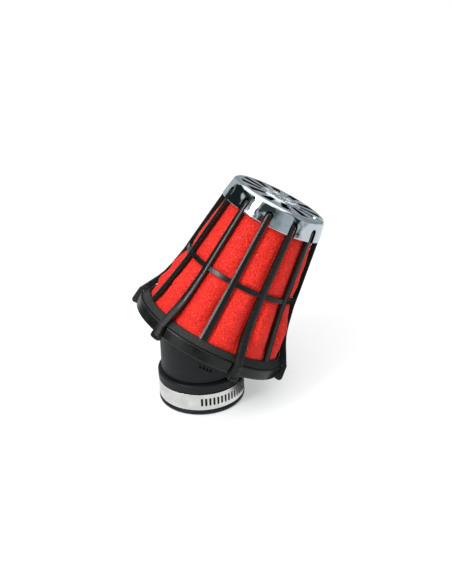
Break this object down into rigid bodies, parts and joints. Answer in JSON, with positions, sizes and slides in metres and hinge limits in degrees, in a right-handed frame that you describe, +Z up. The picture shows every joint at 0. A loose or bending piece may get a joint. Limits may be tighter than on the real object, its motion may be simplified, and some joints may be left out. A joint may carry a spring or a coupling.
{
  "type": "cone air filter",
  "caption": "Clamp-on foam cone air filter with an angled rubber neck, a slotted cage with clip hooks and a windowed chrome cap.",
  "frame": {"origin": "centre of the neck's open mouth, on the neck axis", "axes": "+Z up the neck from its mouth; the filter axis leans 30 degrees from +Z towards +X; +Y completes a right-handed frame"},
  "size_m": [0.086, 0.078, 0.1021],
  "materials": {
    "neck_rubber": "matte",
    "black_plastic": "satin",
    "basket_plastic": "matte",
    "red_foam": "matte",
    "fine_foam": "matte",
    "cage_plastic": "satin",
    "chrome_plating": "mirror",
    "band_steel": "brushed",
    "housing_steel": "satin",
    "screw_steel": "zinc plated"
  },
  "bodies": {
    "filter_body": {"elbow_boot": "neck_rubber", "base_pan": "black_plastic", "inner_basket": "basket_plastic", "foam_outer_sleeve": "red_foam", "foam_outer_disc": "red_foam", "foam_inner_sleeve": "fine_foam", "foam_inner_disc": "fine_foam"},
    "cage_body": {"cage": "cage_plastic"},
    "cap_body": {"cap_grille": "chrome_plating"},
    "clamp_body": {"clamp_band": "band_steel", "clamp_housing": "housing_steel"},
    "clamp_screw_body": {"clamp_screw": "screw_steel"},
    "clamp_tail_body": {"clamp_tail": "band_steel"}
  },
  "joints": [
    {"name": "cage_lift_off", "type": "slide", "parent": "filter_body", "child": "cage_body", "axis": [0.5, 0, 0.866], "range_m": [0, 0.09]},
    {"name": "cap_pull_off", "type": "slide", "parent": "cage_body", "child": "cap_body", "axis": [0.5, 0, 0.866], "range_m": [0, 0.03]},
    {"name": "clamp_turn", "type": "hinge", "parent": "filter_body", "child": "clamp_body", "pos_m": [0, 0, 0.0066], "axis": [0, 0, 1], "continuous": true},
    {"name": "clamp_screw_spin", "type": "hinge", "parent": "clamp_body", "child": "clamp_screw_body", "pos_m": [0.00622, 0.02323, 0.0066], "axis": [-0.9659, 0.2588, 0], "range_deg": [-720, 1080]},
    {"name": "clamp_tail_travel", "type": "hinge", "parent": "clamp_body", "child": "clamp_tail_body", "pos_m": [0, 0, 0.0066], "axis": [0, 0, 1], "range_deg": [-16.4, 10.95]}
  ],
  "couplings": [
    {"joint": "clamp_tail_travel", "follows": "clamp_screw_spin", "ratio": -0.015158}
  ]
}
